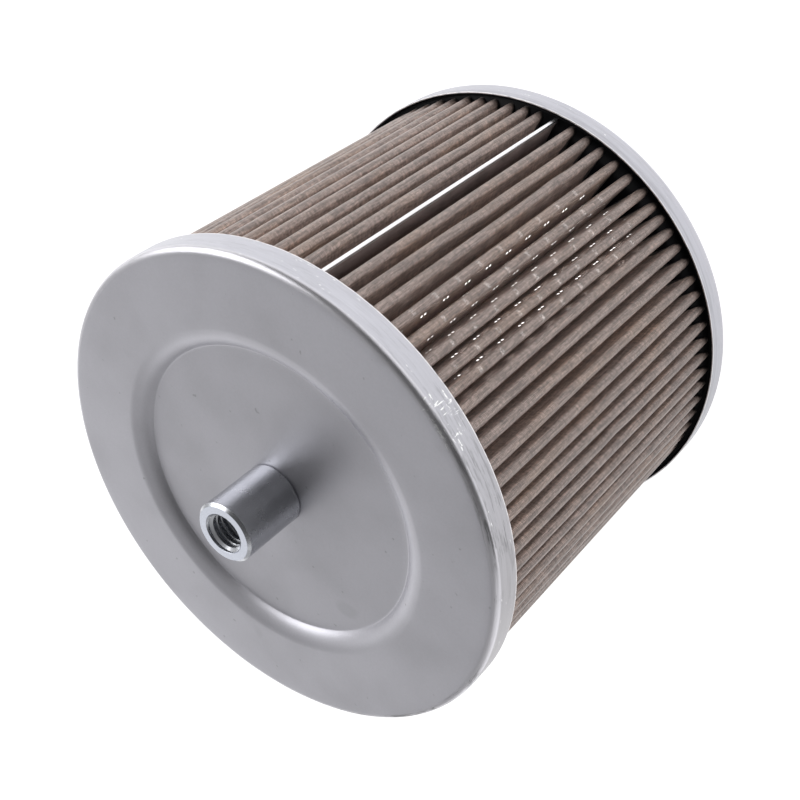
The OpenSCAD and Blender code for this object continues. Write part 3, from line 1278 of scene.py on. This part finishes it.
@dataclass
class Potting:
    """The black potting of one cap, drawn up between the pleats as it set."""

    finish: bpy.types.Material
    node: str
    name: str
    upside_down: bool
    climb: float = 8.0 * MM
    chamfer: float = 1.2 * MM
    shoulder: float = 3.5 * MM
    shelf: float = 9.0 * MM
    longest: float = 2.5 * MM
    segments: int = 336
    wave: float = 1.6 * MM
    least_side: float = 0.1
    dry_right: float = 64.0 * MM
    dry_left: float = -74.0 * MM

    def build(self) -> None:
        """Builds the ring by spinning its half section."""
        low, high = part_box(self.node)
        inner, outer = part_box("core_tube")[1].x, high.x
        base, level = (high.z, low.z) if self.upside_down else (low.z, high.z)
        rise = -1.0 if self.upside_down else 1.0
        crown = level + rise * self.climb
        form = Form()
        form.chain([
            Corner(inner, base),
            Corner(outer - self.chamfer, base),
            Corner(outer, base + rise * self.chamfer),
            Corner(outer, level),
            Corner(outer - 0.9 * MM, level - rise * 0.25 * MM, 0.5 * MM, 4),
            Corner(outer - self.shoulder, level + rise * self.climb * 0.55, 3.0 * MM, 5),
            Corner(outer - self.shelf, crown, 4.0 * MM, 5),
            Corner(inner, crown)], closed=True)
        form.divide(self.longest)
        form.spin(self.segments)

        def creep(point: Vector) -> Vector:
            """Lets the potting stand higher in some pleats than in others, and low at two sides."""
            raised = (point.z - level) * rise / self.climb
            if raised > 0.0:
                angle = math.atan2(point.y, point.x)
                wave = noise.noise(Vector((math.cos(angle), math.sin(angle), rise)) * 14.0)
                from_sides = min((self.dry_right - point.x) / (39 * MM),
                                 (point.x - self.dry_left) / (24 * MM))
                share = min(1.0, max(self.least_side, from_sides))
                point.z = level + rise * raised * (self.climb + wave * self.wave) * share
            return point

        form.settle(creep)
        form.publish(self.name, self.node, Slot.POTTING, self.finish)


@dataclass
class SealRing:
    """The rubber seal over the collar's edge."""

    finish: bpy.types.Material
    collar: float = 47.5 * MM
    collar_top: float = 12.0 * MM
    inner_leg: float = 3.5 * MM
    rounding: float = 0.8 * MM
    segments: int = 160

    def build(self) -> None:
        """Builds the seal by spinning its half section."""
        low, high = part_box("seal_ring")
        outer = high.x
        inner = self.collar * 2 + SHEET - outer
        form = Form()
        form.chain([
            Corner(self.collar, self.collar_top),
            Corner(self.collar, self.collar_top - self.inner_leg),
            Corner(inner, self.collar_top - self.inner_leg, self.rounding),
            Corner(inner, high.z, self.rounding),
            Corner(outer, high.z, self.rounding),
            Corner(outer, low.z, self.rounding),
            Corner(self.collar + SHEET, low.z),
            Corner(self.collar + SHEET, self.collar_top)], closed=True)
        form.spin(self.segments)
        piece = form.publish("outlet_seal", "seal_ring", Slot.SEAL, self.finish)
        crease(piece)


@dataclass(frozen=True)
class Softbox:
    """A plain square studio light."""

    name: str
    heading: float
    rise: float
    distance: float
    side: float
    power: float

    def hang(self, aim: Vector) -> None:
        """Places the light, facing the aim.

        Args:
            aim: The point that it lights.
        """
        turn, rise = math.radians(self.heading), math.radians(self.rise)
        away = Vector((math.cos(turn) * math.cos(rise), math.sin(turn) * math.cos(rise),
                       math.sin(rise)))
        data = bpy.data.lights.new(self.name, "AREA")
        data.shape = "SQUARE"
        data.size = self.side
        data.energy = self.power
        lamp = put(self.name, data)
        lamp.location = aim + away * self.distance
        lamp.rotation_mode = "QUATERNION"
        lamp.rotation_quaternion = (-away).to_track_quat("-Z", "Y")


@dataclass
class Studio:
    """The pale floor, the soft light and the camera."""

    aim: Vector
    softboxes: tuple[Softbox, ...] = (
        Softbox("key", 6.0, 33.0, 0.9, 0.7, 4.0),
        Softbox("back", 88.0, 15.0, 1.2, 1.1, 2.5),
        Softbox("side", 178.0, 18.0, 1.0, 0.6, 0.7),
        Softbox("front", -84.0, 2.0, 1.2, 0.9, 2.1),
    )
    dim: float = 0.07
    bright: float = 0.47
    wall_from: float = -0.5
    wall_to: float = 0.6
    floor_glow: float = 0.96
    camera_place: Vector = Vector((0.0, -302.97, 339.96)) * MM
    camera_fall: float = math.radians(41.5)
    camera_heading: float = math.radians(0.316)
    camera_roll: float = math.radians(-128.75)
    lens: float = 59.46

    def build(self) -> None:
        """Sets the whole stage."""
        for softbox in self.softboxes:
            softbox.hang(self.aim)
        self.lay_floor()
        self.light_world()
        self.stand_camera()

    def lay_floor(self) -> None:
        """Lays the floor that the cartridge stands on."""
        finish = Shader("pale floor").paint(
            base_color=(0.35, 0.35, 0.35), roughness=0.9, emission_color=(1.0, 1.0, 1.0),
            emission_strength=self.floor_glow)
        form = bmesh.new()
        bmesh.ops.create_grid(form, x_segments=1, y_segments=1, size=6.0)
        data = bpy.data.meshes.new("floor")
        form.to_mesh(data)
        form.free()
        data.materials.append(finish)
        floor = put("floor", data)
        floor.location.z = -0.05 * MM
        floor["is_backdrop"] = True

    def light_world(self) -> None:
        """Fills the room with soft light, brightest at the white wall behind the cartridge."""
        world = bpy.data.worlds.new("studio")
        room = Nodes(world)
        way = room.add("ShaderNodeTexCoord", {}, {}, out="Generated").part("y")
        glow = way.ramp(self.wall_from, self.wall_to) * (self.bright - self.dim) + self.dim
        background = room.tree.nodes["Background"]
        room.feed(background.inputs["Color"], (1.0, 1.0, 1.0))
        room.feed(background.inputs["Strength"], glow)
        bpy.context.scene.world = world
        bpy.context.scene.view_settings.view_transform = "Standard"

    def stand_camera(self) -> None:
        """Puts the camera where the photograph was taken from."""
        data = bpy.data.cameras.new("camera")
        data.lens = self.lens
        data.sensor_width = 36.0
        data.clip_start, data.clip_end = 0.01, 50.0
        camera = put("camera", data)
        camera.location = self.camera_place
        forward = Vector((-math.sin(self.camera_heading) * math.cos(self.camera_fall),
                          math.cos(self.camera_heading) * math.cos(self.camera_fall),
                          -math.sin(self.camera_fall)))
        camera.rotation_mode = "QUATERNION"
        level = forward.to_track_quat("-Z", "Y")
        camera.rotation_quaternion = level @ Quaternion(AXIS, self.camera_roll)
        bpy.context.scene.camera = camera


def corners() -> list[list[float]]:
    """The shown object's lowest and highest corners as plain lists."""
    return [list(corner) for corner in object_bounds()]


def main() -> None:
    """Builds the cartridge's pieces in order, and the studio round them."""
    logging.basicConfig(level=logging.INFO, format="%(name)s: %(message)s")
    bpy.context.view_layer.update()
    cap_radius, _, cap_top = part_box("top_end_cap")[1]
    crest_radius = cap_radius - CREST_INSET
    middle = cap_top / 2
    cap_finish = SatinSheet("satin cap sheet", cap_radius, middle, middle - EndCap.skirt).make()
    closed = ClosedCap("top_end_cap", cap_finish)
    closed.build()
    OpenCap("bottom_end_cap", cap_finish).build()
    Boss(ZincPlate("zinc plate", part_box("threaded_boss")[1].z).make(),
         PlainSteel("washer steel").make(), cap_top - closed.dish_depth).build()
    CoreTube(PlainSteel("core sheet", (0.58, 0.58, 0.59)).make()).build()
    PleatPack(WovenMesh("woven wire", crest_radius).make(),
              BrightStrip("bright strip", crest_radius).make()).build()
    epoxy = Epoxy("black potting").make()
    Potting(epoxy, "bottom_potting", "potting_at_outlet", upside_down=False).build()
    Potting(epoxy, "top_potting", "potting_at_boss", upside_down=True, climb=1.6 * MM).build()
    SealRing(Nitrile("black nitrile").make()).build()
    Studio(AXIS * middle).build()


if __name__ == "__main__":
    main()
